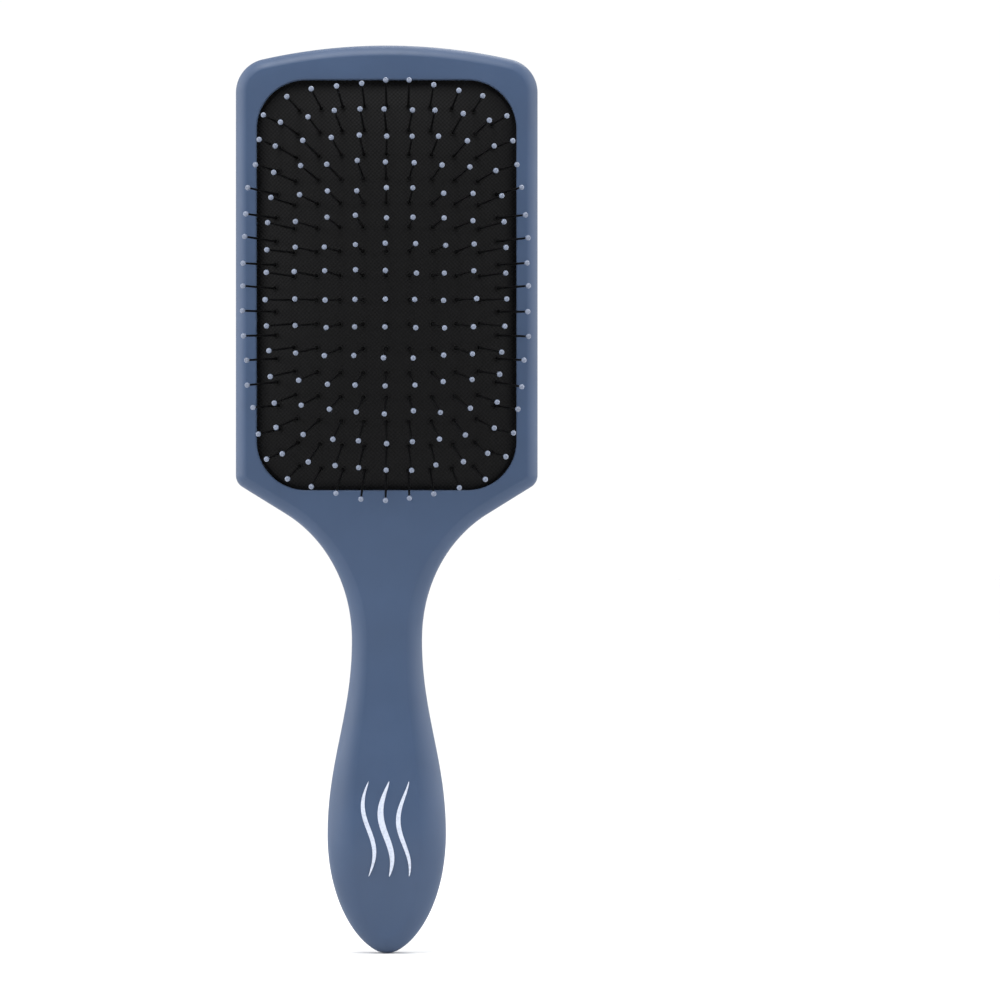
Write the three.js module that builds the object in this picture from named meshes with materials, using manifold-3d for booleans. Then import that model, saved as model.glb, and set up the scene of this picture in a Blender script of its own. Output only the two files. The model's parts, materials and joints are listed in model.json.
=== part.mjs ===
// Vented cushion paddle brush, upright, in millimetres. +Z runs from the butt of the handle to the
// top of the head, the bristles face -Y and the vented back faces +Y. The origin is under the butt,
// midway between the bristle tips and the back.
import * as THREE from 'three';
import { mergeGeometries, mergeVertices } from 'three/addons/utils/BufferGeometryUtils.js';
import Module from 'manifold-3d';

const wasm = await Module();
wasm.setup();

// Outline of the paddle: half widths, and heights above the butt
const HEAD_WIDTH = 88.7;
const HEAD_LENGTH = 128.6; // from the shoulder to the top
const SHOULDER_Z = 138.4;
const FLARE_HALF_WIDTH = 29.5; // where the straight flank of the shoulder turns into the neck
const FLARE_Z = 129.2;
const NECK_HALF_WIDTH = 10.3;
const NECK_Z = 92;
const GRIP_HALF_WIDTH = 17.4;
const GRIP_Z = 35;
const TOP_RADIUS = 166;
const CORNER_RADIUS = 10;
const SHOULDER_RADIUS = 4;
const FLARE_PULL = 12; // the pulls are the reach of each station's hold on the curve beside it
const NECK_PULL = 18;
const GRIP_PULL = 22;
const BUTT_PULL = 6.7;

// Thickness, from the flat back
const HEAD_THICKNESS = 14;
const NECK_THICKNESS = 13;
const GRIP_THICKNESS = 17.5;
const BUTT_THICKNESS = 12.5;
const BUTT_LIFT = 2.5; // how far the back curves forward at the butt
const BUTT_CURVE = 22; // height over which it does
const SEAM_STEP = 1.5; // from the seam between the shells forward to the clamp ring
const WALL = 2.2;
const CLEARANCE = 0.3;
const TONGUE_THICKNESS = 1.3;
const TONGUE_ROOT = 1.2;

// Opening for the cushion, and the cushion
const RIM_SIDE = 6.25;
const RIM_TOP = 10.3;
const RIM_BOTTOM = -2.1; // measured from the shoulder, so the opening ends just below it
const OPENING_RADIUS = 14.4;
const CUSHION_GAP = 0.5; // between the dome and the opening's wall
const FLANGE_THICKNESS = 1.6;
const RETAINER_THICKNESS = 1.6;
const DOME_RISE = 8;
const DOME_FULLNESS = 0.8; // exponent of the dome's profile: smaller is fuller

// Bristles
const ROWS = 16;
const COLUMNS = 9;
const ROW_MARGIN = 6.7; // from the opening's ends to the first and last row, before the shift
const ROW_SHIFT = -1; // the rows sit this far nearer the handle than the middle of the cushion
const COLUMN_MARGIN = 10.8; // from the opening's sides to the outermost full column
const SIDE_COLUMN_MARGIN = 5.4; // from the opening's sides to the staggered side columns
const BRISTLE_LENGTH = 19.5; // outside the cushion, with its ball
const SHAFT_RADIUS = 0.4;
const BALL_RADIUS = 0.8;
const SIDE_TILT = 28.8; // degrees outward at the side columns
const TOP_TILT = 19.5; // degrees upward at the first row
const BOTTOM_TILT = 26.5; // degrees downward at the last row
const SIDE_FADE = 0.6; // share of the side tilt that is lost at the end rows
const END_FADE = 0.75; // share of the end tilts that is lost at the side columns
const COLUMN_BOW = 0.065; // how far the columns draw in towards the end rows, as a share
const ROW_BOW = 0.036; // how far the rows draw in towards their ends, as a share
const CARRIER_WIDTH = 2.2;
const CARRIER_THICKNESS = 1.2;
const CARRIER_GAP = 1; // behind the cushion

// Vents in the back
const VENT_ROWS = 13;
const VENT_HALF_COLUMNS = 5; // half pitches from the middle to the outermost vent
const VENT_RADIUS = 1.7;
const VENT_TOP_MARGIN = 16.15;
const VENT_BOTTOM_MARGIN = 3.35; // above the shoulder
const VENT_SIDE_MARGIN = 9.2;

// Fineness of the facets
const BRISTLE_SIDES = 4;
const VENT_SIDES = 6;
const ARC_STEPS = 3;
const OUTLINE_STEP = 13;
const CUSHION_STEP = 30;
const CUSHION_RINGS = [1, 0.85, 0.5]; // as shares of the dome, from its edge inwards
const EDGE_ANGLES = [0, 45, 90];

// Values worked out from those above
const LENGTH = SHOULDER_Z + HEAD_LENGTH;
const TONGUE_INSET = WALL + CLEARANCE;
const TONGUE_INNER_INSET = TONGUE_INSET + TONGUE_THICKNESS;
const OPENING = {
  halfWidth: HEAD_WIDTH / 2 - RIM_SIDE,
  bottom: SHOULDER_Z + RIM_BOTTOM,
  top: LENGTH - RIM_TOP,
  radius: OPENING_RADIUS,
};
const CUSHION_Z = (OPENING.top + OPENING.bottom) / 2;
const OPENING_HALF_HEIGHT = (OPENING.top - OPENING.bottom) / 2;
const FLANGE_OVERLAP = RIM_SIDE - WALL - 2 * CLEARANCE;
const FLANGE_FRONT = HEAD_THICKNESS - WALL - CLEARANCE;
const RETAINER_FRONT = FLANGE_FRONT - FLANGE_THICKNESS - CLEARANCE;
const RETAINER_BACK = RETAINER_FRONT - RETAINER_THICKNESS;
const SEAM_DEPTH = RETAINER_BACK - SEAM_STEP;
const TONGUE_TOP = RETAINER_BACK - CLEARANCE;
const BUTT_RISE = Math.min(BUTT_LIFT, SEAM_DEPTH - TONGUE_ROOT - CLEARANCE - WALL);
const END_ROW = OPENING_HALF_HEIGHT - ROW_MARGIN;
const SIDE_COLUMN = OPENING.halfWidth - SIDE_COLUMN_MARGIN;
const COLUMN_PITCH = (OPENING.halfWidth - COLUMN_MARGIN) / ((COLUMNS - 1) / 2);
const ROW_PITCH = (2 * END_ROW) / (ROWS - 1);
const BACK_Y = (FLANGE_FRONT + DOME_RISE + BRISTLE_LENGTH) / 2;
const HOLE_LENGTH = 5 * FLANGE_THICKNESS; // clears the cushion's skin at the steepest tilt
const BEYOND = 30; // reach of a cut that runs right out of the part

// The rounding of the long edges: how far it reaches in, and how deep it is, by height
const STATIONS = [0, GRIP_Z, NECK_Z, SHOULDER_Z];
const FRONT_EDGE = { reach: [5, 8, 4.8, 3.3], drop: [4, 6, 4, 3.3] };
const BACK_EDGE = { reach: [5, 8, 4.8, 3.8], drop: [2.5, 5, 3.8, 3.6] };

// A value that changes smoothly between the stations along the handle
function along(z, values) {
  const after = STATIONS.findIndex((station) => z < station);
  if (after === 0) return values[0];
  if (after < 0) return values[values.length - 1];
  const share = THREE.MathUtils.smoothstep(z, STATIONS[after - 1], STATIONS[after]);
  return THREE.MathUtils.lerp(values[after - 1], values[after], share);
}

const frontDepth = (z) =>
  along(z, [BUTT_THICKNESS, GRIP_THICKNESS, NECK_THICKNESS, HEAD_THICKNESS]);

function backDepth(z) {
  const below = THREE.MathUtils.clamp(1 - z / BUTT_CURVE, 0, 1);
  return BUTT_RISE * below * below;
}

// Solids: from a closed geometry to a manifold solid, and back
function toSolid(geometry) {
  geometry.deleteAttribute('normal');
  geometry.deleteAttribute('uv');
  const merged = mergeVertices(geometry, 1e-4);
  const corners = [];
  for (let i = 0; i < merged.index.count; i += 3) {
    const [a, b, c] = [0, 1, 2].map((k) => merged.index.getX(i + k));
    if (a !== b && b !== c && c !== a) corners.push(a, b, c);
  }
  return new wasm.Manifold(
    new wasm.Mesh({
      numProp: 3,
      vertProperties: new Float32Array(merged.attributes.position.array),
      triVerts: new Uint32Array(corners),
    }),
  );
}

function toGeometry(solid) {
  const { vertProperties, triVerts } = solid.getMesh();
  const geometry = new THREE.BufferGeometry();
  geometry.setAttribute('position', new THREE.BufferAttribute(vertProperties, 3));
  geometry.setIndex(new THREE.BufferAttribute(triVerts, 1));
  return geometry;
}

// Outline of the paddle, right half, clockwise from the top centre to the butt
function filletTo(path, corner, next, radius) {
  const into = corner.clone().sub(path.currentPoint).normalize();
  const out = next.clone().sub(corner).normalize();
  const turn = into.angleTo(out);
  const start = corner.clone().addScaledVector(into, -radius * Math.tan(turn / 2));
  const centre = start.clone().add(new THREE.Vector2(into.y, -into.x).multiplyScalar(radius));
  const angle = Math.atan2(start.y - centre.y, start.x - centre.x);
  path.lineTo(start.x, start.y);
  path.absarc(centre.x, centre.y, radius, angle, angle - turn, true);
  path.lineTo(next.x, next.y);
}

function halfOutline() {
  const half = HEAD_WIDTH / 2;
  const cornerX = half - CORNER_RADIUS;
  const topCentreZ = LENGTH - TOP_RADIUS;
  const cornerZ = topCentreZ + Math.sqrt((TOP_RADIUS - CORNER_RADIUS) ** 2 - cornerX ** 2);
  const meets = Math.atan2(cornerZ - topCentreZ, cornerX);
  const shoulder = new THREE.Vector2(half, SHOULDER_Z);
  const flare = new THREE.Vector2(FLARE_HALF_WIDTH, FLARE_Z);
  const flank = flare.clone().sub(shoulder).normalize();
  const shoulderRadius = Math.max(SHOULDER_RADIUS, TONGUE_INNER_INSET + CLEARANCE);
  const neckPull = flare.clone().addScaledVector(flank, FLARE_PULL);

  const path = new THREE.Path();
  path.absarc(0, topCentreZ, TOP_RADIUS, Math.PI / 2, meets, true);
  path.absarc(cornerX, cornerZ, CORNER_RADIUS, meets, 0, true);
  filletTo(path, shoulder, flare, shoulderRadius);
  path.bezierCurveTo(
    neckPull.x, neckPull.y, NECK_HALF_WIDTH, NECK_Z + NECK_PULL, NECK_HALF_WIDTH, NECK_Z,
  );
  path.bezierCurveTo(
    NECK_HALF_WIDTH, NECK_Z - GRIP_PULL, GRIP_HALF_WIDTH, GRIP_Z + GRIP_PULL, GRIP_HALF_WIDTH, GRIP_Z,
  );
  path.bezierCurveTo(GRIP_HALF_WIDTH, GRIP_Z - GRIP_PULL, BUTT_PULL, 0, 0, 0);
  return path;
}

// Points along a path, with straight stretches divided and repeated points left out
function sampled(path, step, arcSteps) {
  const points = path.curves.flatMap((curve) => {
    const least = curve.isLineCurve ? 1 : arcSteps;
    return curve.getPoints(Math.max(least, Math.ceil(curve.getLength() / step)));
  });
  return points.filter((p, i) => i === 0 || p.distanceTo(points[i - 1]) > 0.01);
}

const OUTLINE = sampled(halfOutline(), OUTLINE_STEP, ARC_STEPS).map((point, i, all) => {
  const side = (a, b) => new THREE.Vector2(a.y - b.y, b.x - a.x).normalize();
  if (i === 0) return { point, outward: new THREE.Vector2(0, 1) };
  if (i === all.length - 1) return { point, outward: new THREE.Vector2(0, -1) };
  const before = side(all[i - 1], point);
  const outward = before.clone().add(side(point, all[i + 1])).normalize();
  return { point, outward: outward.divideScalar(outward.dot(before)) };
});
OUTLINE[0].point.x = 0;
OUTLINE[OUTLINE.length - 1].point.x = 0;

// One ring of the paddle: the outline drawn in, at a depth from the back, both given by height
function bodyRing(insetAt, depthAt) {
  return OUTLINE.map(({ point, outward }) => {
    const p = point.clone().addScaledVector(outward, -insetAt(point.y));
    return new THREE.Vector3(p.x, BACK_Y - depthAt(point.y), p.y);
  });
}

// A closed skin over rings that run from the back to the front, each clockwise seen from the front
function skin(rings, caps = []) {
  const positions = rings.flatMap((ring) => ring.flatMap((p) => [p.x, p.y, p.z]));
  const starts = [];
  rings.reduce((start, ring) => (starts.push(start), start + ring.length), 0);
  const at = (ring, i) => starts[ring] + (i % rings[ring].length);
  const index = [];
  for (let ring = 0; ring + 1 < rings.length; ring++) {
    const count = Math.max(rings[ring].length, rings[ring + 1].length);
    for (let i = 0; i < count; i++) {
      const [a, b, c, d] = [at(ring, i), at(ring, i + 1), at(ring + 1, i + 1), at(ring + 1, i)];
      if (c !== d) index.push(a, d, c);
      if (a !== b) index.push(a, c, b);
    }
  }
  for (const corners of caps) index.push(...corners);
  const geometry = new THREE.BufferGeometry();
  geometry.setAttribute('position', new THREE.Float32BufferAttribute(positions, 3));
  geometry.setIndex(index);
  return geometry;
}

// The paddle's skin from half rings, with caps laid like ladders between its two sides
function bodySolid(halfRings) {
  const steps = halfRings[0].length - 1;
  const mirror = (p) => new THREE.Vector3(-p.x, p.y, p.z);
  const rings = halfRings.map((half) => [...half, ...half.slice(1, -1).reverse().map(mirror)]);
  const size = 2 * steps;
  const front = size * (rings.length - 1);
  const left = (i) => (size - i) % size;
  const caps = [];
  for (let i = 0; i < steps; i++) {
    const [r0, r1, l1, l0] = [i, i + 1, left(i + 1), left(i)];
    if (r1 !== l1) caps.push([r0, r1, l1], [front + r0, front + l1, front + r1]);
    if (r0 !== l0) caps.push([r0, l1, l0], [front + r0, front + l0, front + l1]);
  }
  return toSolid(skin(rings, caps));
}

// Rings over a rounded long edge, from the side wall to the face, with a wall's thickness taken off.
// The rounding ends short of the seam and its tongue.
function edgeRings(edge, depthAt, towards, wall) {
  const room = (z) => Math.abs(depthAt(z) - SEAM_DEPTH) - TONGUE_ROOT - CLEARANCE;
  return EDGE_ANGLES.map((degrees) => {
    const angle = THREE.MathUtils.degToRad(degrees);
    const inset = (z) => wall + (along(z, edge.reach) - wall) * (1 - Math.cos(angle));
    const depth = (z) => Math.min(along(z, edge.drop), room(z));
    const drop = (z) => wall + (depth(z) - wall) * (1 - Math.sin(angle));
    return bodyRing(inset, (z) => depthAt(z) - towards * drop(z));
  });
}

const level = (inset, depth) => bodyRing(() => inset, () => depth);

function frontHalf(wall, seam) {
  return bodySolid([level(wall, seam), ...edgeRings(FRONT_EDGE, frontDepth, 1, wall)]);
}

function backHalf(wall, seam) {
  return bodySolid([...edgeRings(BACK_EDGE, backDepth, -1, wall).reverse(), level(wall, seam)]);
}

// Rounded rectangle of the opening, grown by a margin, clockwise seen from the front
function openingShape(grow) {
  const half = OPENING.halfWidth + grow;
  const [top, bottom] = [OPENING.top + grow, OPENING.bottom - grow];
  const r = OPENING.radius + grow;
  const shape = new THREE.Shape();
  shape.moveTo(r - half, top);
  shape.lineTo(half - r, top);
  shape.absarc(half - r, top - r, r, Math.PI / 2, 0, true);
  shape.lineTo(half, bottom + r);
  shape.absarc(half - r, bottom + r, r, 0, -Math.PI / 2, true);
  shape.lineTo(r - half, bottom);
  shape.absarc(r - half, bottom + r, r, -Math.PI / 2, -Math.PI, true);
  shape.lineTo(-half, top - r);
  shape.absarc(r - half, top - r, r, Math.PI, Math.PI / 2, true);
  return shape;
}

// A shape raised towards the bristles between two depths
function slab(shape, from, to) {
  const options = { depth: to - from, bevelEnabled: false, curveSegments: 2 * ARC_STEPS };
  const geometry = new THREE.ExtrudeGeometry(shape, options);
  return geometry.rotateX(Math.PI / 2).translate(0, BACK_Y - from, 0);
}

// Cushion
function domeRise(x, z) {
  const across = 1 - (x / (OPENING.halfWidth - CUSHION_GAP)) ** 2;
  const lengthways = 1 - ((z - CUSHION_Z) / (OPENING_HALF_HEIGHT - CUSHION_GAP)) ** 2;
  return DOME_RISE * Math.max(0, across * lengthways) ** DOME_FULLNESS;
}

const cushionPoints = (grow) => {
  const points = sampled(openingShape(grow), CUSHION_STEP, ARC_STEPS);
  return points.slice(0, -1);
};

function cushionRing(share, depth) {
  return cushionPoints(-CUSHION_GAP).map((p) => {
    const x = p.x * share;
    const z = CUSHION_Z + (p.y - CUSHION_Z) * share;
    const rise = share < 1 ? domeRise(x, z) : 0;
    return new THREE.Vector3(x, BACK_Y - depth - rise, z);
  });
}

function cushionSolid(bristles) {
  const flangeBack = FLANGE_FRONT - FLANGE_THICKNESS;
  const centre = (depth) => [new THREE.Vector3(0, BACK_Y - depth - DOME_RISE, CUSHION_Z)];
  const flange = (depth) =>
    cushionPoints(FLANGE_OVERLAP).map((p) => new THREE.Vector3(p.x, BACK_Y - depth, p.y));
  const rings = [
    centre(flangeBack),
    ...CUSHION_RINGS.map((share) => cushionRing(share, flangeBack)).reverse(),
    flange(flangeBack),
    flange(FLANGE_FRONT),
    ...CUSHION_RINGS.map((share) => cushionRing(share, FLANGE_FRONT)),
    centre(FLANGE_FRONT),
  ];
  const holeRadius = SHAFT_RADIUS + CLEARANCE / Math.cos(Math.PI / BRISTLE_SIDES);
  const holes = bristles.map((bristle) => {
    const hole = new THREE.CylinderGeometry(holeRadius, holeRadius, HOLE_LENGTH, BRISTLE_SIDES);
    return pointed(hole, bristle.base, bristle.direction);
  });
  return toSolid(skin(rings)).subtract(toSolid(mergeGeometries(holes)));
}

// How far a bristle leans along one axis, given how far out it stands along that axis and across it
function lean(degrees, out, across, fade) {
  return Math.sin(THREE.MathUtils.degToRad(degrees)) * out * (1 - fade * across * across);
}

// Bristles: where each leaves the cushion, which way it points, and where its root lies
function bristleAt(columnX, rowZ) {
  const [u, v] = [columnX / SIDE_COLUMN, rowZ / END_ROW];
  const x = columnX * (1 - COLUMN_BOW * v * v);
  const z = CUSHION_Z + ROW_SHIFT + rowZ * (1 - ROW_BOW * u * u);
  const leanX = lean(SIDE_TILT, u, v, SIDE_FADE);
  const leanZ = lean(rowZ > 0 ? TOP_TILT : BOTTOM_TILT, v, u, END_FADE);
  const forward = Math.sqrt(1 - leanX ** 2 - leanZ ** 2);
  const base = new THREE.Vector3(x, BACK_Y - FLANGE_FRONT - domeRise(x, z), z);
  const direction = new THREE.Vector3(leanX, -forward, leanZ);
  const behind = (FLANGE_THICKNESS + CARRIER_GAP + CARRIER_THICKNESS / 2) / forward;
  return { base, direction, behind, root: base.clone().addScaledVector(direction, -behind) };
}

function pointed(geometry, position, direction) {
  const turn = new THREE.Quaternion().setFromUnitVectors(THREE.Object3D.DEFAULT_UP, direction);
  return geometry.applyQuaternion(turn).translate(position.x, position.y, position.z);
}

function bristleGeometry({ root, direction, behind }) {
  const tip = behind + BRISTLE_LENGTH;
  const profile = [
    [0, 0],
    [SHAFT_RADIUS, 0],
    [SHAFT_RADIUS, tip - 2 * BALL_RADIUS],
    [BALL_RADIUS, tip - BALL_RADIUS],
    [0, tip],
  ].map(([radius, height]) => new THREE.Vector2(radius, height));
  return pointed(new THREE.LatheGeometry(profile, BRISTLE_SIDES), root, direction);
}

// The strip that joins the roots of a run of bristles behind the cushion
function carrierSolid(bristles, across) {
  const roots = bristles.map(({ root }) => root);
  const beyond = (end, inner) =>
    end.clone().add(end.clone().sub(inner).setLength(CARRIER_WIDTH / 2 + SHAFT_RADIUS));
  const between = roots.slice(1).map((root, i) => root.clone().lerp(roots[i], 0.5));
  const line = [beyond(roots[0], roots[1]), ...between, beyond(roots.at(-1), roots.at(-2))];
  const side = across.clone().multiplyScalar(CARRIER_WIDTH / 2);
  const lift = new THREE.Vector3(0, CARRIER_THICKNESS / 2, 0);
  const section = (p) =>
    [[1, 1], [-1, 1], [-1, -1], [1, -1]].map(([s, l]) =>
      p.clone().addScaledVector(side, s).addScaledVector(lift, l));
  const last = 4 * (line.length - 1);
  const caps = [[0, 1, 2], [0, 2, 3], [last, last + 2, last + 1], [last, last + 3, last + 2]];
  return toSolid(skin(line.map(section), caps));
}

function bristleRun(bristles, across) {
  const shafts = toSolid(mergeGeometries(bristles.map(bristleGeometry)));
  return carrierSolid(bristles, across).add(shafts);
}

function bristleRows() {
  return Array.from({ length: ROWS }, (_, row) =>
    Array.from({ length: COLUMNS }, (_, column) =>
      bristleAt((column - (COLUMNS - 1) / 2) * COLUMN_PITCH, END_ROW - row * ROW_PITCH)));
}

function sideColumn(side) {
  return Array.from({ length: ROWS - 1 }, (_, gap) =>
    bristleAt(side * SIDE_COLUMN, END_ROW - (gap + 0.5) * ROW_PITCH));
}

// Shells
function frontShell() {
  const seam = SEAM_DEPTH + CLEARANCE / 2;
  const pocket = toSolid(slab(openingShape(FLANGE_OVERLAP + CLEARANCE), -1, HEAD_THICKNESS - WALL));
  const opening = toSolid(slab(openingShape(0), -1, BEYOND));
  return frontHalf(0, seam).subtract(frontHalf(WALL, 0)).subtract(pocket).subtract(opening);
}

function ventHoles() {
  const pitch = (HEAD_LENGTH - VENT_TOP_MARGIN - VENT_BOTTOM_MARGIN) / (VENT_ROWS - 1);
  const halfPitch = (HEAD_WIDTH / 2 - VENT_SIDE_MARGIN) / VENT_HALF_COLUMNS;
  const holes = [];
  for (let row = 0; row < VENT_ROWS; row++) {
    const z = LENGTH - VENT_TOP_MARGIN - row * pitch;
    const outermost = VENT_HALF_COLUMNS - 1 + (row % 2);
    for (let step = -outermost; step <= outermost; step += 2) {
      const hole = new THREE.CylinderGeometry(VENT_RADIUS, VENT_RADIUS, 2 * WALL + 2, VENT_SIDES);
      holes.push(hole.translate(step * halfPitch, BACK_Y, z));
    }
  }
  return toSolid(mergeGeometries(holes));
}

function backShell() {
  const seam = SEAM_DEPTH - CLEARANCE / 2;
  const tongue = bodySolid([level(TONGUE_INSET, seam - TONGUE_ROOT), level(TONGUE_INSET, TONGUE_TOP)]);
  const mouth = bodySolid([
    level(TONGUE_INNER_INSET, seam - TONGUE_ROOT - CLEARANCE),
    level(TONGUE_INNER_INSET, BEYOND),
  ]);
  return backHalf(0, seam)
    .add(tongue)
    .subtract(backHalf(WALL, seam - TONGUE_ROOT))
    .subtract(mouth)
    .subtract(ventHoles());
}

function retainer() {
  const inside = toSolid(slab(openingShape(0), -1, BEYOND));
  return toSolid(slab(openingShape(FLANGE_OVERLAP), RETAINER_BACK, RETAINER_FRONT)).subtract(inside);
}

// Assembly
const plastic = { roughness: 0.5, metalness: 0 };
const MATERIALS = {
  frontPlastic: new THREE.MeshStandardMaterial({ color: 0x4c617d, ...plastic }),
  backPlastic: new THREE.MeshStandardMaterial({ color: 0x566b8c, ...plastic }),
  rubber: new THREE.MeshStandardMaterial({ color: 0x232324, roughness: 0.75, metalness: 0 }),
  clamp: new THREE.MeshStandardMaterial({ color: 0x2c2d30, roughness: 0.6, metalness: 0 }),
  nylon: new THREE.MeshStandardMaterial({ color: 0x1b1b1e, roughness: 0.4, metalness: 0 }),
};

const brush = new THREE.Group();

function addPart(name, solid, material) {
  const mesh = new THREE.Mesh(toGeometry(solid), material);
  mesh.name = name;
  brush.add(mesh);
}

const rows = bristleRows();
const sides = { left: sideColumn(-1), right: sideColumn(1) };

addPart('front_shell', frontShell(), MATERIALS.frontPlastic);
addPart('back_shell', backShell(), MATERIALS.backPlastic);
addPart('cushion', cushionSolid([...rows, sides.left, sides.right].flat()), MATERIALS.rubber);
addPart('cushion_retainer', retainer(), MATERIALS.clamp);
rows.forEach((row, i) => {
  const name = `bristle_row_${String(i + 1).padStart(2, '0')}`;
  addPart(name, bristleRun(row, new THREE.Vector3(0, 0, 1)), MATERIALS.nylon);
});
for (const [side, column] of Object.entries(sides)) {
  addPart(`bristle_side_${side}`, bristleRun(column, new THREE.Vector3(1, 0, 0)), MATERIALS.nylon);
}

export default brush;
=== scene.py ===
"""Vented cushion paddle brush: smooth shells, embossed rubber cushion and ball-tipped bristles."""
import json
import math
import random

import bmesh
import bpy
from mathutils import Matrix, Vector


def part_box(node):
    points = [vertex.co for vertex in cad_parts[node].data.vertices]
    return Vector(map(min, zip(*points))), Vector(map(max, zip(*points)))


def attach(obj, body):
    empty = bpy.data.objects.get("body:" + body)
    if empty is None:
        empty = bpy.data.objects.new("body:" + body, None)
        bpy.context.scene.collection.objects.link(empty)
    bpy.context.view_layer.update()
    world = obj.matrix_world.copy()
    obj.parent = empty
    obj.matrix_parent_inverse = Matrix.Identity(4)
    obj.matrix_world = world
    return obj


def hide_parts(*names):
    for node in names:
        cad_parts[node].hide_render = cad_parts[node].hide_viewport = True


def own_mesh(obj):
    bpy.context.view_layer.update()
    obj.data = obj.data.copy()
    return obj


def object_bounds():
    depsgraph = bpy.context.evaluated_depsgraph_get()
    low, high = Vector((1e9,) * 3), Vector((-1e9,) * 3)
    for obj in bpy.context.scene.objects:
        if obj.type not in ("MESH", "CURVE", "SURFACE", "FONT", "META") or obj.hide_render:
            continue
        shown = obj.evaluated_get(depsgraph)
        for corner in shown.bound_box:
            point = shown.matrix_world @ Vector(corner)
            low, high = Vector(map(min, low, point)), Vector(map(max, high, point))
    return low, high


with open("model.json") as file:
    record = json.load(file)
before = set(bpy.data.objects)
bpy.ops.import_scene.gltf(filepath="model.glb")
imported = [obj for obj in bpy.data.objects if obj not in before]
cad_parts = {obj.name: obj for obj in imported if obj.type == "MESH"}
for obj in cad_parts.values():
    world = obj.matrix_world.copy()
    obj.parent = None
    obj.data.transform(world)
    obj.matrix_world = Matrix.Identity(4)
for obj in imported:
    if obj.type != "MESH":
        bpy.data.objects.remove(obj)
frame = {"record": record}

CAD_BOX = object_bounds()
MM = 0.001

# What the frame gives: the outer sizes of the shells and the place of the cushion
shell_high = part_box("front_shell")[1]
back_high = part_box("back_shell")[1]
pad_low, pad_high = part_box("cushion")
retainer_low, retainer_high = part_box("cushion_retainer")
LENGTH = shell_high.z
HALF_WIDTH = shell_high.x
BACK_Y = back_high.y

# Sizes of the paddle, as on the CAD model
SHOULDER_Z = 138.4 * MM
FLARE = (29.5 * MM, 129.2 * MM)
NECK = (10.3 * MM, 92 * MM)
GRIP = (17.4 * MM, 35 * MM)
TOP_RADIUS = 166 * MM
CORNER_RADIUS = 10 * MM
SHOULDER_RADIUS = 4 * MM
FLARE_PULL = 12 * MM
NECK_PULL = 18 * MM
GRIP_PULL = 22 * MM
BUTT_PULL = 6.7 * MM
HEAD_THICKNESS = 14 * MM
THICKNESSES = (12.5 * MM, 17.5 * MM, 13 * MM, HEAD_THICKNESS)
BUTT_LIFT = 2.5 * MM
BUTT_CURVE = 22 * MM
WALL = 2.2 * MM
SEAM_DEPTH = BACK_Y - shell_high.y
SEAM_GAP = 0.3 * MM
STATIONS = (0, GRIP[1], NECK[1], SHOULDER_Z)
FRONT_EDGE = ((5 * MM, 8 * MM, 4.8 * MM, 3.3 * MM), (4 * MM, 6 * MM, 4 * MM, 3.3 * MM))
BACK_EDGE = ((5 * MM, 8 * MM, 4.8 * MM, 3.8 * MM), (2.5 * MM, 5 * MM, 3.8 * MM, 3.6 * MM))
EDGE_STEPS = 12
EDGE_CRISPNESS = 1.25

# Cushion and its opening
FLANGE_OVERLAP = 3.45 * MM
FLANGE_THICKNESS = 1.6 * MM
CUSHION_GAP = 0.5 * MM
OPENING_HALF = pad_high.x - FLANGE_OVERLAP
OPENING_TOP = pad_high.z - FLANGE_OVERLAP
OPENING_BOTTOM = pad_low.z + FLANGE_OVERLAP
OPENING_RADIUS = 14.4 * MM
RING_LENGTHWAYS = 60
RING_ACROSS = 34
LIP = 0.55 * MM
CUSHION_Z = (OPENING_TOP + OPENING_BOTTOM) / 2
OPENING_HALF_HEIGHT = (OPENING_TOP - OPENING_BOTTOM) / 2
FLANGE_FRONT_Y = pad_high.y - FLANGE_THICKNESS
DOME_RISE = FLANGE_FRONT_Y - pad_low.y
DOME_FULLNESS = 0.8

# Bristles
ROWS = 16
COLUMNS = 9
ROW_MARGIN = 6.7 * MM
COLUMN_MARGIN = 10.8 * MM
SIDE_COLUMN_MARGIN = 5.4 * MM
END_ROW = OPENING_HALF_HEIGHT - ROW_MARGIN
ROW_SHIFT = -1 * MM
SIDE_COLUMN = OPENING_HALF - SIDE_COLUMN_MARGIN
COLUMN_PITCH = (OPENING_HALF - COLUMN_MARGIN) / (COLUMNS // 2)
ROW_PITCH = 2 * END_ROW / (ROWS - 1)
BRISTLE_LENGTH = pad_low.y - CAD_BOX[0][1]
ROOT_RADIUS = 0.4 * MM
SHAFT_RADIUS = 0.34 * MM
NECK_RADIUS = 0.3 * MM
BALL_RADIUS = 0.8 * MM
DIMPLE_RADIUS = 0.24 * MM
SIDE_TILT = math.radians(28.8)
TOP_TILT = math.radians(19.5)
BOTTOM_TILT = math.radians(26.5)
SIDE_FADE = 0.6
END_FADE = 0.75
COLUMN_BOW = 0.065
ROW_BOW = 0.036
TIP_SCATTER = math.radians(2)
CARRIER_WIDTH = 2.2 * MM
CARRIER_THICKNESS = 1.2 * MM
CARRIER_GAP = 1 * MM
COLLAR_DEPTH = 1.4 * MM
COLLAR_RADIUS = 0.95 * MM
COLLAR_BORE = 0.5 * MM
SHAFT_SIDES = 14

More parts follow.
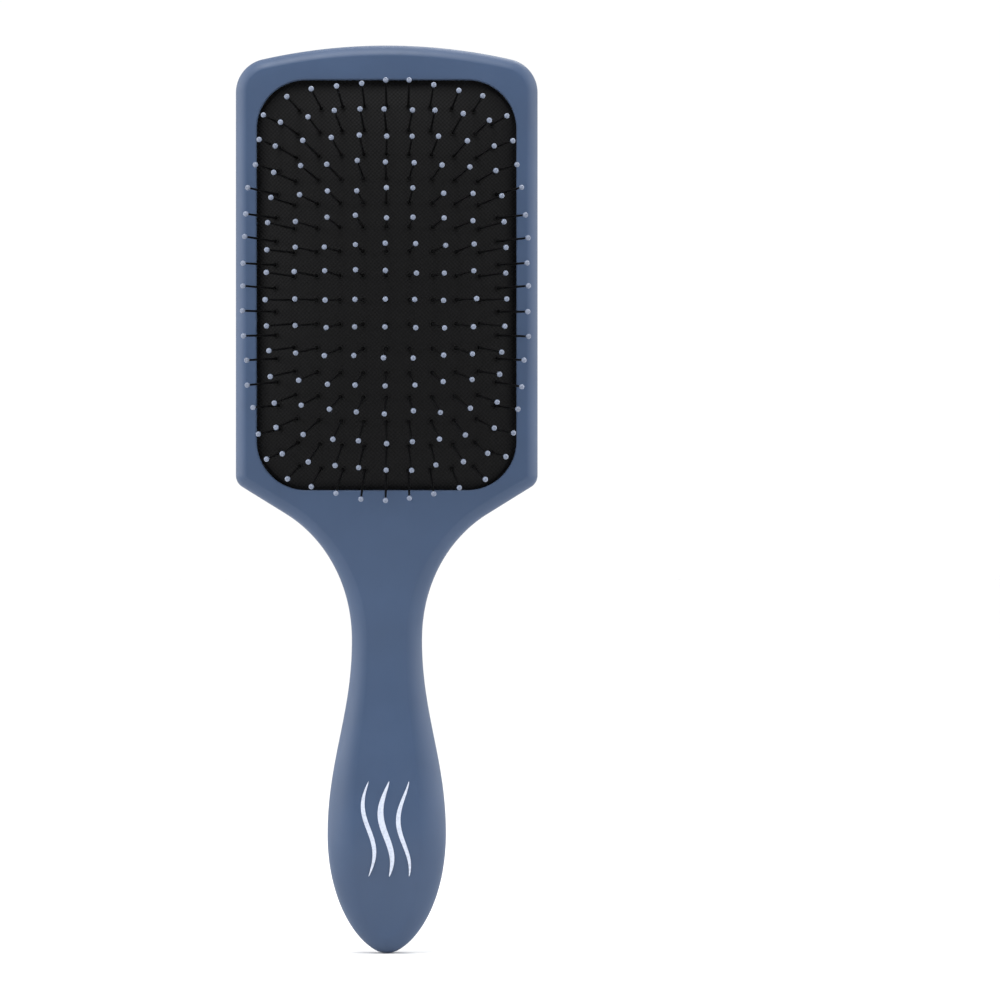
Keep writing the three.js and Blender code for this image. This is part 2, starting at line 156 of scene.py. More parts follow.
# Vents
VENT_ROWS = 13
VENT_HALF_COLUMNS = 5
VENT_RADIUS = 1.7 * MM
VENT_EDGE = 0.4 * MM
VENT_TOP_MARGIN = 16.15 * MM
VENT_BOTTOM_MARGIN = 3.35 * MM
VENT_SIDE_MARGIN = 9.2 * MM
VENT_TOP = LENGTH - VENT_TOP_MARGIN
VENT_PITCH = (VENT_TOP - SHOULDER_Z - VENT_BOTTOM_MARGIN) / (VENT_ROWS - 1)
VENT_HALF_PITCH = (HALF_WIDTH - VENT_SIDE_MARGIN) / VENT_HALF_COLUMNS
VENT_SIDES = 28

# Emboss, print and camera
EMBOSS_PITCH = 1.2 * MM
PRINT_Z = (23 * MM, 51 * MM)
PRINT_THICKNESS = 0.05 * MM
CAMERA_DISTANCE = 1.7
CAMERA_X = 33.3 * MM
CAMERA_Z = 133.4 * MM
PICTURE_WIDTH = 294.7 * MM
SENSOR_WIDTH = 36

# Floor, world and lamps
FLOOR_HALF_WIDTH = 8
FLOOR_DARK = (0.8, 0.8, 0.8)
FLOOR_LIGHT = (0.84, 0.84, 0.84)
FLOOR_GLOW = 0.02
SIDE_LIGHT = 3.4
SIDE_FOCUS = 3
TOP_LIGHT = 0.85
FRONT_LIGHT = 0.1
BACKDROP = 1.02
LAMPS = (("top_soft_light", (-0.1, -0.3, 0.85), 0.5, 4.2),
         ("left_soft_light", (-1.1, -0.25, 0.4), 0.8, 2),
         ("back_soft_light", (0.2, 0.5, 0.9), 0.6, 3))

# Colours, as linear values
PLASTIC = (0.037, 0.065, 0.127)
RUBBER = (0.0048, 0.0048, 0.0051)
NYLON = (0.0032, 0.0032, 0.0036)
BEADS = (0.15, 0.178, 0.245)
INK = (0.55, 0.6, 0.72)
CLAMP = (0.02, 0.021, 0.024)


# ---------------------------------------------------------------- materials

class Shader:
    """A principled material, with short ways to add nodes to it."""

    def __init__(self, name, **sockets):
        self.material = bpy.data.materials.new(name)
        self.material.use_nodes = True
        self.tree = self.material.node_tree
        self.surface = self.tree.nodes["Principled BSDF"]
        self.place = self.add("ShaderNodeTexCoord").outputs["Object"]
        for socket, value in sockets.items():
            self.surface.inputs[socket.replace("_", " ")].default_value = value

    def add(self, kind, links=(), **values):
        node = self.tree.nodes.new(kind)
        for name, value in values.items():
            setattr(node, name, value)
        for socket, source in links:
            if hasattr(source, "is_output"):
                self.tree.links.new(source, node.inputs[socket])
            else:
                node.inputs[socket].default_value = source
        return node

    def math(self, operation, *values):
        links = list(enumerate(values))
        return self.add("ShaderNodeMath", links, operation=operation).outputs[0]

    def noise(self, scale, detail=2.0, roughness=0.5, stretch=(1, 1, 1)):
        place = self.add("ShaderNodeMapping", [("Vector", self.place), ("Scale", stretch)])
        links = [("Vector", place.outputs[0]), ("Scale", scale), ("Detail", detail)]
        links.append(("Roughness", roughness))
        return self.add("ShaderNodeTexNoise", links).outputs["Fac"]

    def between(self, share, low, high, start=0.3, end=0.7):
        links = [("Value", share), ("From Min", start), ("From Max", end)]
        links += [("To Min", low), ("To Max", high)]
        return self.add("ShaderNodeMapRange", links).outputs[0]

    def tint(self, share, dark, light):
        node = self.add("ShaderNodeMix", [(0, share)], data_type="RGBA")
        node.inputs[6].default_value = (*dark, 1)
        node.inputs[7].default_value = (*light, 1)
        self.set("Base Color", node.outputs[2])
        return node.outputs[2]

    def set(self, socket, source):
        self.tree.links.new(source, self.surface.inputs[socket])

    def bump(self, *heights):
        """Layers of (height, depth in metres, strength), the first one nearest the surface's own shape."""
        normal = None
        for height, depth, strength in heights:
            links = [("Height", height), ("Distance", depth), ("Strength", strength)]
            if normal is not None:
                links.append(("Normal", normal))
            normal = self.add("ShaderNodeBump", links).outputs[0]
        self.set("Normal", normal)


def scaled(colour, by):
    return tuple(channel * by for channel in colour)


def soft_touch_plastic():
    """Satin moulded plastic with a soft-touch coat: fine grain, faint mottling and rubbed patches."""
    shader = Shader("soft_touch_plastic", IOR=1.4, Sheen_Weight=0.04, Sheen_Roughness=0.5)
    mottle = shader.noise(55, 3)
    shader.tint(shader.between(mottle, 0, 1), scaled(PLASTIC, 0.95), scaled(PLASTIC, 1.06))
    rubbed = shader.noise(150, 4, 0.65, stretch=(1, 1, 0.25))
    shader.set("Roughness", shader.between(rubbed, 0.4, 0.5))
    grain = shader.noise(5200, 2)
    wave = shader.noise(260, 1)
    shader.bump((wave, 0.02 * MM, 0.25), (grain, 0.012 * MM, 0.5))
    return shader.material


def embossed_rubber():
    """Matte black rubber with a fine chequered emboss, whose raised points are painted lighter and hollows
    darker as painted highlight and shade.
    """
    shader = Shader("embossed_rubber", IOR=1.5, Specular_IOR_Level=0.08)
    axes = shader.add("ShaderNodeSeparateXYZ", [(0, shader.place)]).outputs
    turns = 2 * math.pi / EMBOSS_PITCH
    waves = [shader.math("SINE", shader.math("MULTIPLY", axis, turns)) for axis in (axes[0], axes[2])]
    weave = shader.math("MULTIPLY", *waves)
    # Painted highlight and shade: the colour follows the emboss height, lighter on the raised points and
    # darker in the hollows; the dust noise also scales how light they are painted.
    share = shader.between(weave, 0, 1, -1, 1)
    dust_and_lobe_highlight = shader.noise(90, 4, 0.6)
    painted_lobe_shade = shader.math("MULTIPLY", share, shader.between(dust_and_lobe_highlight, 0.6, 1))
    shader.tint(painted_lobe_shade, scaled(RUBBER, 0.7), scaled(RUBBER, 1.9))
    shader.set("Roughness", shader.between(dust_and_lobe_highlight, 0.55, 0.7))
    shader.bump((weave, 0.1 * MM, 0.6), (shader.noise(4000, 2), 0.02 * MM, 0.4))
    return shader.material


def nylon():
    shader = Shader("bristle_nylon", IOR=1.53, Specular_IOR_Level=0.15)
    streaks = shader.noise(900, 2, stretch=(1, 0.1, 1))
    shader.tint(streaks, scaled(NYLON, 0.75), scaled(NYLON, 1.5))
    shader.set("Roughness", shader.between(shader.noise(700, 2), 0.26, 0.4))
    shader.bump((streaks, 0.02 * MM, 0.2))
    return shader.material


def bead_plastic():
    """Ball tips: smooth blue-grey beads that differ a little from one to the next."""
    shader = Shader("ball_tip_plastic", IOR=1.5, Subsurface_Weight=0.1, Subsurface_Scale=0.6 * MM)
    shader.surface.inputs["Subsurface Radius"].default_value = (1, 0.9, 0.8)
    batch = shader.noise(160, 1)
    shader.tint(shader.between(batch, 0, 1), scaled(BEADS, 0.86), scaled(BEADS, 1.1))
    shader.set("Roughness", shader.between(shader.noise(1500, 2), 0.22, 0.36))
    shader.bump((shader.noise(2600, 2), 0.01 * MM, 0.2))
    return shader.material


def printed_ink():
    shader = Shader("pale_print", IOR=1.45)
    worn = shader.noise(1300, 4, 0.7)
    shader.tint(shader.between(worn, 0, 1, 0.35, 0.55), scaled(INK, 0.8), INK)
    shader.set("Roughness", shader.between(worn, 0.35, 0.5))
    shader.bump((worn, 0.01 * MM, 0.3))
    return shader.material


def clamp_plastic():
    shader = Shader("clamp_plastic", IOR=1.5)
    marks = shader.noise(400, 3)
    shader.tint(marks, scaled(CLAMP, 0.8), scaled(CLAMP, 1.3))
    shader.set("Roughness", shader.between(marks, 0.45, 0.6))
    shader.bump((shader.noise(3000, 2), 0.02 * MM, 0.3))
    return shader.material


# ---------------------------------------------------------------- mesh helpers

def new_object(name, vertices, faces, material, sharp=None):
    mesh = bpy.data.meshes.new(name)
    mesh.from_pydata(vertices, [], faces)
    mesh.update()
    mesh.shade_smooth()
    if sharp is not None:
        mesh.set_sharp_from_angle(angle=math.radians(sharp))
    mesh.materials.append(material)
    piece = bpy.data.objects.new(name, mesh)
    bpy.context.scene.collection.objects.link(piece)
    return piece


def apply_modifier(piece, kind, **values):
    modifier = piece.modifiers.new(kind.lower(), kind)
    for name, value in values.items():
        setattr(modifier, name, value)
    with bpy.context.temp_override(object=piece, active_object=piece, selected_objects=[piece]):
        bpy.ops.object.modifier_apply(modifier=modifier.name)


def cut(piece, cutter):
    """Takes the cutter away from the piece, and removes the cutter."""
    apply_modifier(piece, "BOOLEAN", object=cutter, operation="DIFFERENCE", solver="EXACT")
    bpy.data.objects.remove(cutter)


def welded(piece):
    """The piece with the points of its closing seam joined."""
    mesh = bmesh.new()
    mesh.from_mesh(piece.data)
    bmesh.ops.remove_doubles(mesh, verts=mesh.verts, dist=0.001 * MM)
    mesh.to_mesh(piece.data)
    mesh.free()
    return piece


def finish_shell(piece, sharp):
    piece.data.shade_smooth()
    piece.data.set_sharp_from_angle(angle=math.radians(sharp))
    apply_modifier(piece, "WEIGHTED_NORMAL", keep_sharp=True, weight=80)


def skin(rings):
    """Vertices and faces over rings that run from the back to the front, clockwise seen from the front.
    A ring of one point closes an end."""
    vertices = [point for ring in rings for point in ring]
    faces, start = [], 0
    for ring, after in zip(rings, rings[1:]):
        here, there = start, start + len(ring)
        for i in range(max(len(ring), len(after))):
            a, b = here + i % len(ring), here + (i + 1) % len(ring)
            c, d = there + (i + 1) % len(after), there + i % len(after)
            faces.append([k for n, k in enumerate((a, d, c, b)) if k not in (a, d, c, b)[:n]])
        start = there
    return vertices, faces


def ladder(first, count, front):
    """Faces across a mirrored ring, from its top to its bottom."""
    faces = []
    for i in range(count // 2):
        corners = [first + i, first + i + 1, first + (count - i - 1) % count, first + (count - i) % count]
        corners = list(dict.fromkeys(corners))
        faces.append(corners[::-1] if front else corners)
    return faces


def arc(centre, radius, start, end, steps):
    """Points on a circle, from one angle to another."""
    angles = [start + (end - start) * i / steps for i in range(steps + 1)]
    return [(centre[0] + radius * math.cos(a), centre[1] + radius * math.sin(a)) for a in angles]


def bezier(points, steps):
    (ax, az), (bx, bz), (cx, cz), (dx, dz) = points
    found = []
    for i in range(steps + 1):
        t = i / steps
        w = ((1 - t) ** 3, 3 * t * (1 - t) ** 2, 3 * t * t * (1 - t), t ** 3)
        x = w[0] * ax + w[1] * bx + w[2] * cx + w[3] * dx
        found.append((x, w[0] * az + w[1] * bz + w[2] * cz + w[3] * dz))
    return found


# ---------------------------------------------------------------- shape of the paddle

def half_outline():
    """Right half of the paddle's outline, from the top centre to the butt."""
    corner_x = HALF_WIDTH - CORNER_RADIUS
    top_z = LENGTH - TOP_RADIUS
    corner_z = top_z + math.sqrt((TOP_RADIUS - CORNER_RADIUS) ** 2 - corner_x ** 2)
    meets = math.atan2(corner_z - top_z, corner_x)
    points = arc((0, top_z), TOP_RADIUS, math.pi / 2, meets, 30)
    points += arc((corner_x, corner_z), CORNER_RADIUS, meets, 0, 18)

    turn = math.pi / 2 - math.atan2(SHOULDER_Z - FLARE[1], HALF_WIDTH - FLARE[0])
    reach = SHOULDER_RADIUS * math.tan(turn / 2)
    start_z = SHOULDER_Z + reach
    straight = corner_z - start_z
    points += [(HALF_WIDTH, corner_z - straight * i / 12) for i in range(1, 12)]
    points += arc((HALF_WIDTH - SHOULDER_RADIUS, start_z), SHOULDER_RADIUS, 0, -turn, 10)
    last = points[-1]
    points += [(last[0] + (FLARE[0] - last[0]) * i / 6, last[1] + (FLARE[1] - last[1]) * i / 6)
               for i in range(1, 6)]
    flank = Vector((FLARE[0] - HALF_WIDTH, FLARE[1] - SHOULDER_Z)).normalized()
    pull = (FLARE[0] + FLARE_PULL * flank.x, FLARE[1] + FLARE_PULL * flank.y)
    points += bezier([FLARE, pull, (NECK[0], NECK[1] + NECK_PULL), NECK], 40)
    points += bezier([NECK, (NECK[0], NECK[1] - GRIP_PULL), (GRIP[0], GRIP[1] + GRIP_PULL), GRIP], 44)
    points += bezier([GRIP, (GRIP[0], GRIP[1] - GRIP_PULL), (BUTT_PULL, 0), (0, 0)], 48)
    distinct = [Vector(points[0])]
    for point in map(Vector, points[1:]):
        if (point - distinct[-1]).length > 0.01 * MM:
            distinct.append(point)
    distinct[0].x = distinct[-1].x = 0
    return distinct


def outward_normals(points):
    normals = [Vector((0, 1))]
    for before, here, after in zip(points, points[1:], points[2:]):
        first, second = here - before, after - here
        one = Vector((-first.y, first.x)).normalized()
        two = Vector((-second.y, second.x)).normalized()
        mean = (one + two).normalized()
        normals.append(mean / mean.dot(one))
    return normals + [Vector((0, -1))]


OUTLINE = half_outline()
OUTWARD = outward_normals(OUTLINE)


def along(z, values):
    """A value that changes smoothly between the stations along the handle."""
    if z <= STATIONS[0]:
        return values[0]
    for low, high, first, second in zip(STATIONS, STATIONS[1:], values, values[1:]):
        if z < high:
            t = (z - low) / (high - low)
            return first + (second - first) * t * t * (3 - 2 * t)
    return values[-1]


def front_depth(z):
    return along(z, THICKNESSES)


def back_depth(z):
    below = min(max(1 - z / BUTT_CURVE, 0), 1)
    return BUTT_LIFT * below * below


def body_ring(inset_at, depth_at):
    half = []
    for point, outward in zip(OUTLINE, OUTWARD):
        place = point - outward * inset_at(point.y)
        half.append((place.x, BACK_Y - depth_at(point.y), place.y))
    half[0] = (0, *half[0][1:])
    half[-1] = (0, *half[-1][1:])
    return half + [(-x, y, z) for x, y, z in half[-2:0:-1]]


def edge_rings(edge, depth_at, towards, wall, steps):
    """Rings over a rounded long edge, from the side wall to the face, with a wall taken off."""
    reach, drop = edge
    rings = []
    for step in range(steps + 1):
        angle = math.pi / 2 * step / steps
        aside, up = 1 - math.cos(angle) ** EDGE_CRISPNESS, 1 - math.sin(angle) ** EDGE_CRISPNESS
        rings.append(body_ring(
            lambda z: wall + (along(z, reach) - wall) * aside,
            lambda z: depth_at(z) - towards * (wall + (along(z, drop) - wall) * up)))
    return rings


def shell(name, material, rings):
    """A closed half shell: its rings run from one face's edge round the wall to the other face's edge."""
    vertices, faces = skin(rings)
    count = len(rings[0])
    faces += ladder(0, count, False) + ladder(count * (len(rings) - 1), count, True)
    return new_object(name, vertices, faces, material)


def opening_ring(grow, y):
    """Rounded rectangle of the opening, grown by a margin, clockwise seen from the front."""
    half, radius = OPENING_HALF + grow, OPENING_RADIUS + grow
    top, bottom = OPENING_TOP + grow, OPENING_BOTTOM - grow
    x, upper, lower = half - radius, top - radius, bottom + radius
    corners = [((x, upper), 90, RING_LENGTHWAYS), ((x, lower), 0, RING_ACROSS),
               ((-x, lower), -90, RING_LENGTHWAYS), ((-x, upper), 180, RING_ACROSS)]
    bends = [(arc(centre, radius, math.radians(start), math.radians(start - 90), 16), pieces)
             for centre, start, pieces in corners]
    found = []
    for (bend, pieces), (following, _) in zip(bends, bends[1:] + bends[:1]):
        here, after = bend[-1], following[0]
        found += bend
        found += [(here[0] + (after[0] - here[0]) * i / pieces, here[1] + (after[1] - here[1]) * i / pieces)
                  for i in range(1, pieces)]
    return [(px, y, pz) for px, pz in found]


def capped(rings):
    """A closed solid over rings, with one face over each end."""
    vertices, faces = skin(rings)
    last = len(vertices) - len(rings[-1])
    faces.append(list(range(len(rings[0]))))
    faces.append(list(range(last, len(vertices)))[::-1])
    return vertices, faces


def build_front_shell(material):
    seam = SEAM_DEPTH
    inner = edge_rings(FRONT_EDGE, front_depth, 1, WALL, 4)
    outer = edge_rings(FRONT_EDGE, front_depth, 1, 0, EDGE_STEPS)
    rings = inner[::-1]
    rings += [body_ring(lambda z: WALL, lambda z: seam), body_ring(lambda z: 0, lambda z: seam)]
    piece = shell("front_shell_moulding", material, rings + outer)
    face_y = BACK_Y - HEAD_THICKNESS
    lip = []
    for step in range(7):
        angle = math.pi / 2 * step / 6
        lip.append(opening_ring(LIP * (1 - math.sin(angle)), face_y + LIP * (1 - math.cos(angle))))
    deep = opening_ring(0, face_y + 2 * WALL)
    proud = opening_ring(LIP, face_y - 3 * WALL)
    cutter = new_object("opening_cutter", *capped([deep, *lip[::-1], proud]), material)
    cut(piece, cutter)
    finish_shell(piece, 40)
    return piece


def vent_cutter(material):
    profile = [(VENT_RADIUS, -2 * WALL), (VENT_RADIUS, -VENT_EDGE)]
    for step in range(1, 6):
        angle = math.pi / 2 * step / 5
        profile.append((VENT_RADIUS + VENT_EDGE * (1 - math.cos(angle)), VENT_EDGE * (math.sin(angle) - 1)))
    profile.append((VENT_RADIUS + VENT_EDGE, WALL))
    vertices, faces = [], []
    for row in range(VENT_ROWS):
        outermost = VENT_HALF_COLUMNS - 1 + row % 2
        for step in range(-outermost, outermost + 1, 2):
            x, z = step * VENT_HALF_PITCH, VENT_TOP - row * VENT_PITCH
            rings = [[(x + radius * math.sin(2 * math.pi * i / VENT_SIDES), BACK_Y + out,
                       z + radius * math.cos(2 * math.pi * i / VENT_SIDES)) for i in range(VENT_SIDES)]
                     for radius, out in reversed(profile)]
            points, sides = capped(rings)
            faces += [[k + len(vertices) for k in face] for face in sides]
            vertices += points
    return new_object("vent_cutter", vertices, faces, material)


def build_back_shell(material):
    seam = SEAM_DEPTH - SEAM_GAP
    outer = edge_rings(BACK_EDGE, back_depth, -1, 0, EDGE_STEPS)[::-1]
    inner = edge_rings(BACK_EDGE, back_depth, -1, WALL, 4)
    rings = outer + [body_ring(lambda z: 0, lambda z: seam), body_ring(lambda z: WALL, lambda z: seam)]
    piece = shell("back_shell_moulding", material, rings + inner)
    cut(piece, vent_cutter(material))
    finish_shell(piece, 40)
    return piece


# ---------------------------------------------------------------- cushion and bristles

def dome_rise(x, z):
    across = 1 - (x / (OPENING_HALF - CUSHION_GAP)) ** 2
    lengthways = 1 - ((z - CUSHION_Z) / (OPENING_HALF_HEIGHT - CUSHION_GAP)) ** 2
    return DOME_RISE * max(0, across * lengthways) ** DOME_FULLNESS


def dome_normal(x, z):
    step = 0.2 * MM
    slope_x = (dome_rise(x + step, z) - dome_rise(x - step, z)) / (2 * step)
    slope_z = (dome_rise(x, z + step) - dome_rise(x, z - step)) / (2 * step)
    return Vector((-slope_x, -1, -slope_z)).normalized()


def build_cushion(material):
    edge = opening_ring(-CUSHION_GAP, 0)
    steps = 44
    shares = [1 - (step / steps) ** 1.35 for step in range(steps)]

    def ring(share, back):
        found = []
        for x, _, z in edge:
            px, pz = x * share, CUSHION_Z + (z - CUSHION_Z) * share
            rise = dome_rise(px, pz) if share < 1 else 0
            found.append((px, FLANGE_FRONT_Y + back - rise, pz))
        return found

    soft = 0.2 * MM
    centre = (0, FLANGE_FRONT_Y - DOME_RISE, CUSHION_Z)
    behind = (0, centre[1] + FLANGE_THICKNESS, CUSHION_Z)
    outside = [ring(share, 0) for share in shares]
    inside = [ring(share, FLANGE_THICKNESS) for share in shares[::4]]
    flange = [opening_ring(FLANGE_OVERLAP - inset, FLANGE_FRONT_Y + back)
              for inset, back in ((soft, FLANGE_THICKNESS), (0, FLANGE_THICKNESS - soft),
                                  (0, soft), (soft, 0))]
    rings = [[behind], *inside[::-1], *flange, *outside, [centre]]
    return new_object("cushion_rubber_pad", *skin(rings), material, sharp=50)


def bristle_at(column_x, row_z):
    """Where a bristle leaves the cushion, which way it points, and how far behind its root lies."""
    u, v = column_x / SIDE_COLUMN, row_z / END_ROW
    x = column_x * (1 - COLUMN_BOW * v * v)
    z = CUSHION_Z + ROW_SHIFT + row_z * (1 - ROW_BOW * u * u)
    lean_x = math.sin(SIDE_TILT) * u * (1 - SIDE_FADE * v * v)
    lean_z = math.sin(TOP_TILT if row_z > 0 else BOTTOM_TILT) * v * (1 - END_FADE * u * u)
    forward = math.sqrt(1 - lean_x ** 2 - lean_z ** 2)
    base = Vector((x, FLANGE_FRONT_Y - dome_rise(x, z), z))
    behind = (FLANGE_THICKNESS + CARRIER_GAP + CARRIER_THICKNESS / 2) / forward
    return base, Vector((lean_x, -forward, lean_z)), behind


def scattered(direction, dice):
    """The direction with the small scatter of a moulded bristle."""
    offset = Vector((dice.gauss(0, 0.5), dice.gauss(0, 0.3), dice.gauss(0, 0.5)))
    if offset.length > 1:
        offset.normalize()
    return (direction + offset * math.tan(TIP_SCATTER)).normalized()


def lathe(profile, origin, axis, sides):
    """Vertices and faces of a profile of (distance along the axis, radius) turned about the axis."""
    side = axis.orthogonal().normalized()
    other = axis.cross(side)
    rings = []
    for distance, radius in profile:
        centre = origin + axis * distance
        if radius == 0:
            rings.append([tuple(centre)])
            continue
        angles = [2 * math.pi * i / sides for i in range(sides)]
        rings.append([tuple(centre + (side * math.cos(a) + other * math.sin(a)) * radius) for a in angles])
    vertices, faces = skin(rings)
    return vertices, [face[::-1] for face in faces]


def gather(parts):
    """Many small meshes as one."""
    vertices, faces = [], []
    for points, sides in parts:
        faces += [[k + len(vertices) for k in face] for face in sides]
        vertices += points
    return vertices, faces


def shaft_profile(behind, length):
    neck = length - 1.7 * BALL_RADIUS
    return [(-behind, 0), (-behind, ROOT_RADIUS), (0.4 * MM, ROOT_RADIUS), (1.6 * MM, SHAFT_RADIUS),
            (0.5 * length, SHAFT_RADIUS), (neck - 2 * MM, NECK_RADIUS), (neck, NECK_RADIUS), (neck, 0)]


def ball_profile(length, radius):
    """A round bead on a short sleeve, with a small dimple at its tip."""
    centre = length - radius
    last = math.acos(DIMPLE_RADIUS / radius)
    first = -math.radians(62)
    angles = [first + (last - first) * i / 14 for i in range(15)]
    bead = [(centre + radius * math.sin(a), radius * math.cos(a)) for a in angles]
    sleeve = [(bead[0][0] - 0.3 * MM, 0), (bead[0][0] - 0.3 * MM, NECK_RADIUS * 1.15)]
    dimple = [(bead[-1][0] - 0.05 * MM, 0.72 * DIMPLE_RADIUS), (bead[-1][0] - 0.12 * MM, 0)]
    return sleeve + bead + dimple


def carrier(bristles, across):
    """The strip behind the cushion that joins the roots of a run of bristles."""
    roots = [base - direction * behind for base, direction, behind in bristles]
    ends = []
    for end, inner in ((roots[0], roots[1]), (roots[-1], roots[-2])):
        ends.append(end + (end - inner).normalized() * (CARRIER_WIDTH / 2 + ROOT_RADIUS))
    line = [ends[0], *roots, ends[1]]
    side = Vector(across) * CARRIER_WIDTH / 2
    lift = Vector((0, CARRIER_THICKNESS / 2, 0))
    section = (side + lift, lift - side, -side - lift, side - lift)
    return capped([[tuple(p + corner) for corner in section] for p in line])


def build_collars(node, bristles, material):
    """The small rubber ring gripped round each bristle of a run, which moves with it."""
    profile = [(-COLLAR_DEPTH, COLLAR_BORE), (-COLLAR_DEPTH, COLLAR_RADIUS), (0.05 * MM, COLLAR_RADIUS),
               (0.28 * MM, 0.86 * MM), (0.36 * MM, 0.72 * MM), (0.34 * MM, 0.58 * MM),
               (0.1 * MM, COLLAR_BORE)]
    rings = []
    for base, _, _ in bristles:
        normal = dome_normal(base.x, base.z)
        vertices, faces = lathe(profile + profile[:1], base, normal, 16)
        rings.append((vertices, faces))
    piece = new_object(f"{node}_collars", *gather(rings), material, sharp=60)
    return welded(piece)


def build_run(node, body, bristles, across, finishes, dice):
    """A run of bristles: the shafts with their carrier strip, the ball tips and the rubber collars."""
    shafts, balls = [carrier(bristles, across)], []
    for base, direction, behind in bristles:
        lean = scattered(direction, dice)
        length = BRISTLE_LENGTH * (1 - 0.012 * dice.random())
        radius = BALL_RADIUS * (1 - 0.05 * dice.random())
        shafts.append(lathe(shaft_profile(behind, length), base, lean, SHAFT_SIDES))
        balls.append(lathe(ball_profile(length, radius), base, lean, 18))
    shaft_piece = new_object(f"{node}_shafts", *gather(shafts), finishes["nylon"], sharp=45)
    ball_piece = new_object(f"{node}_ball_tips", *gather(balls), finishes["beads"], sharp=60)
    collar_piece = build_collars(node, bristles, finishes["rubber"])
    for piece in (shaft_piece, ball_piece, collar_piece):
        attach(piece, body)
    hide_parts(node)


# ---------------------------------------------------------------- small pieces

def build_print(material):
    """Three wavy strands printed on the grip, in place of any mark."""
    low, high = PRINT_Z
    thick, steps = PRINT_THICKNESS, 60
    strands = []
    for centre, width, phase in ((-5.2 * MM, 1.3 * MM, 0.0), (0, 1.8 * MM, 0.5), (5.2 * MM, 1.3 * MM, 1.0)):
        rings = []
        for step in range(steps + 1):
            t = step / steps
            z = low + (high - low) * t
            x = centre + 1.7 * MM * math.sin(2 * math.pi * t + phase)
            half = width / 2 * (math.sin(math.pi * t) ** 0.6 + 0.03)
            face = BACK_Y - front_depth(z)
            rings.append([(x - half, face - thick, z), (x + half, face - thick, z),
                          (x + half, face + thick, z), (x - half, face + thick, z)])
        vertices, faces = capped(rings)
        strands.append((vertices, [side[::-1] for side in faces]))
    return new_object("grip_print", *gather(strands), material, sharp=40)


def build_retainer(material):
    """The clamp ring behind the cushion's flange, with softened edges."""
    front, back = retainer_low.y, retainer_high.y
    soft = 0.25 * MM
    outer, inner = FLANGE_OVERLAP, 0
    section = [(outer - soft, back), (outer, back - soft), (outer, front + soft), (outer - soft, front),
               (inner + soft, front), (inner, front + soft), (inner, back - soft), (inner + soft, back)]
    rings = [opening_ring(grow, y) for grow, y in section]
    vertices, faces = skin(rings + rings[:1])
    piece = new_object("cushion_clamp_ring", vertices, faces, material, sharp=60)
    return welded(piece)


# ---------------------------------------------------------------- studio

def build_floor():
    corners = [(-1, -1), (1, -1), (1, 1), (-1, 1)]
    points = [(FLOOR_HALF_WIDTH * x, FLOOR_HALF_WIDTH * y, 0) for x, y in corners]
    paper = Shader("pale_floor", Roughness=0.9)
    paper.tint(paper.noise(3, 2), FLOOR_DARK, FLOOR_LIGHT)
    paper.surface.inputs["Emission Color"].default_value = (1, 1, 1, 1)
    paper.surface.inputs["Emission Strength"].default_value = FLOOR_GLOW
    new_object("floor", points, [(0, 1, 2, 3)], paper.material)


def build_world():
    """Light that comes from both sides and from above, and a white backdrop behind the brush."""
    world = bpy.data.worlds.new("studio")
    bpy.context.scene.world = world
    world.use_nodes = True
    tree = world.node_tree
    light = tree.nodes["Background"]
    place = tree.nodes.new("ShaderNodeTexCoord").outputs["Generated"]
    split = tree.nodes.new("ShaderNodeSeparateXYZ")
    tree.links.new(place, split.inputs[0])

    def world_math(operation, *values):
        node = tree.nodes.new("ShaderNodeMath")
        node.operation = operation
        for socket, value in zip(node.inputs, values):
            if isinstance(value, (int, float)):
                socket.default_value = value
            else:
                tree.links.new(value, socket)
        return node.outputs[0]

    aside = world_math("POWER", world_math("ABSOLUTE", split.outputs[0]), SIDE_FOCUS)
    above = world_math("MAXIMUM", split.outputs[2], 0)
    sides_and_top = world_math("ADD", world_math("MULTIPLY", aside, SIDE_LIGHT),
                               world_math("MULTIPLY", above, TOP_LIGHT))
    strength = world_math("ADD", sides_and_top, FRONT_LIGHT)
    seen = tree.nodes.new("ShaderNodeLightPath")
    pick = tree.nodes.new("ShaderNodeMix")
    tree.links.new(seen.outputs["Is Camera Ray"], pick.inputs[0])
    tree.links.new(strength, pick.inputs[2])
    pick.inputs[3].default_value = BACKDROP
    tree.links.new(pick.outputs[0], light.inputs["Strength"])
    light.inputs["Color"].default_value = (1, 1, 1, 1)


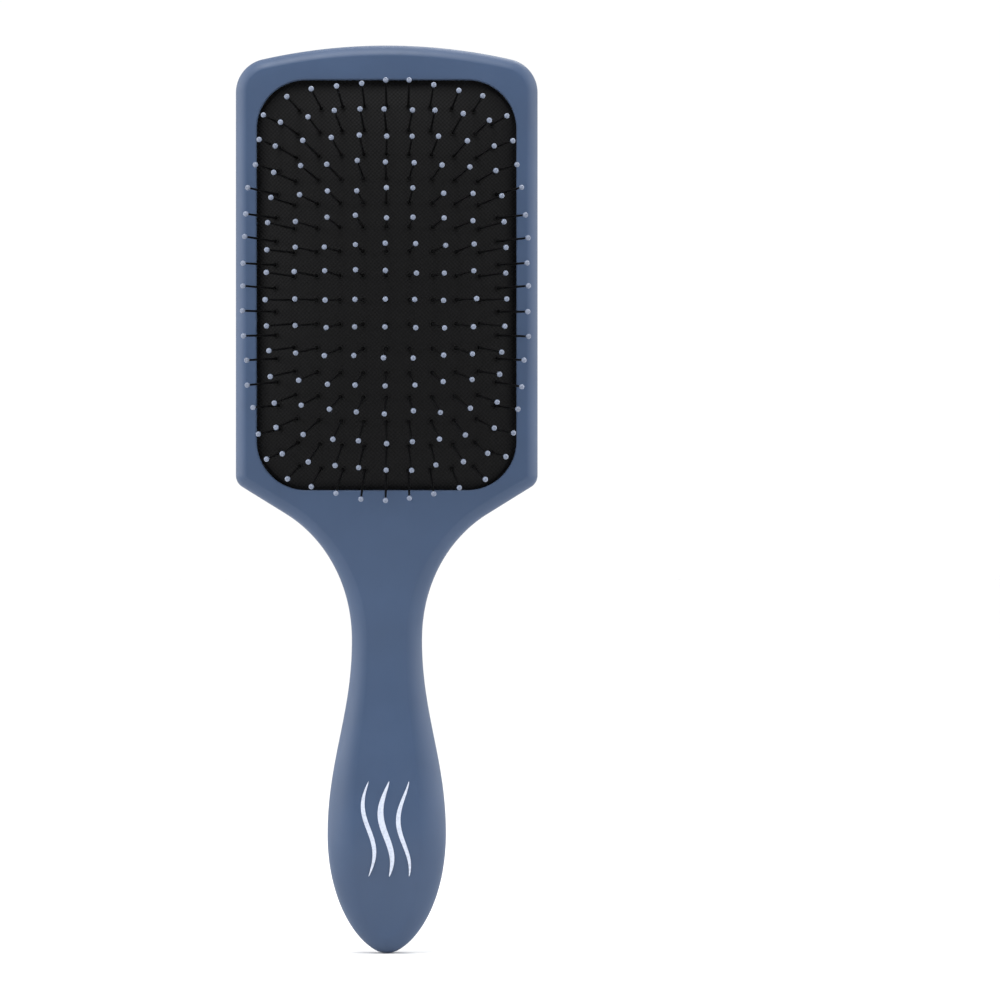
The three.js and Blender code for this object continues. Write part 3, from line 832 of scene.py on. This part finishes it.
def soft_light(name, place, width, power):
    """A round lamp that points at the middle of the brush."""
    lamp = bpy.data.lights.new(name, "AREA")
    lamp.shape = "DISK"
    lamp.size = width
    lamp.energy = power
    holder = bpy.data.objects.new(name, lamp)
    holder.location = place
    aim = Vector((0, 0, LENGTH / 2)) - Vector(place)
    holder.rotation_euler = aim.to_track_quat("-Z", "Y").to_euler()
    bpy.context.scene.collection.objects.link(holder)


def build_studio():
    bpy.context.scene.view_settings.view_transform = "Standard"
    build_floor()
    build_world()
    for name, place, width, power in LAMPS:
        soft_light(name, place, width, power)


def place_camera():
    """A long lens level with the middle of the brush, which stands left of the picture's centre."""
    camera = bpy.data.cameras.new("camera")
    camera.sensor_width = SENSOR_WIDTH
    camera.lens = SENSOR_WIDTH * CAMERA_DISTANCE / PICTURE_WIDTH
    holder = bpy.data.objects.new("camera", camera)
    holder.location = (CAMERA_X, shell_high.y - CAMERA_DISTANCE, CAMERA_Z)
    holder.rotation_euler = (math.pi / 2, 0, 0)
    bpy.context.scene.collection.objects.link(holder)
    bpy.context.scene.camera = holder


# ---------------------------------------------------------------- assembly

place_camera()
build_studio()
plastic = soft_touch_plastic()
rubber = embossed_rubber()
finishes = {"nylon": nylon(), "beads": bead_plastic(), "rubber": rubber}

front_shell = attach(build_front_shell(plastic), "paddle")
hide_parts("front_shell")
back_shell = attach(build_back_shell(plastic), "paddle")
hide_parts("back_shell")
grip_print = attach(build_print(printed_ink()), "paddle")
clamp_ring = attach(build_retainer(clamp_plastic()), "paddle")
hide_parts("cushion_retainer")

rows = [[bristle_at((column - COLUMNS // 2) * COLUMN_PITCH, END_ROW - row * ROW_PITCH)
         for column in range(COLUMNS)] for row in range(ROWS)]
side_columns = {side: [bristle_at(sign * SIDE_COLUMN, END_ROW - (gap + 0.5) * ROW_PITCH)
                       for gap in range(ROWS - 1)]
                for side, sign in (("left", -1), ("right", 1))}

body_of = {node: body for body, nodes in frame["record"]["behaviour"]["bodies"].items() for node in nodes}
dice = random.Random(7)
for number, row in enumerate(rows, 1):
    node = f"bristle_row_{number:02d}"
    build_run(node, body_of[node], row, (0, 0, 1), finishes, dice)
for side, column in side_columns.items():
    node = f"bristle_side_{side}"
    build_run(node, body_of[node], column, (1, 0, 0), finishes, dice)

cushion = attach(build_cushion(rubber), "paddle")
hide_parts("cushion")
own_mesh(cushion)
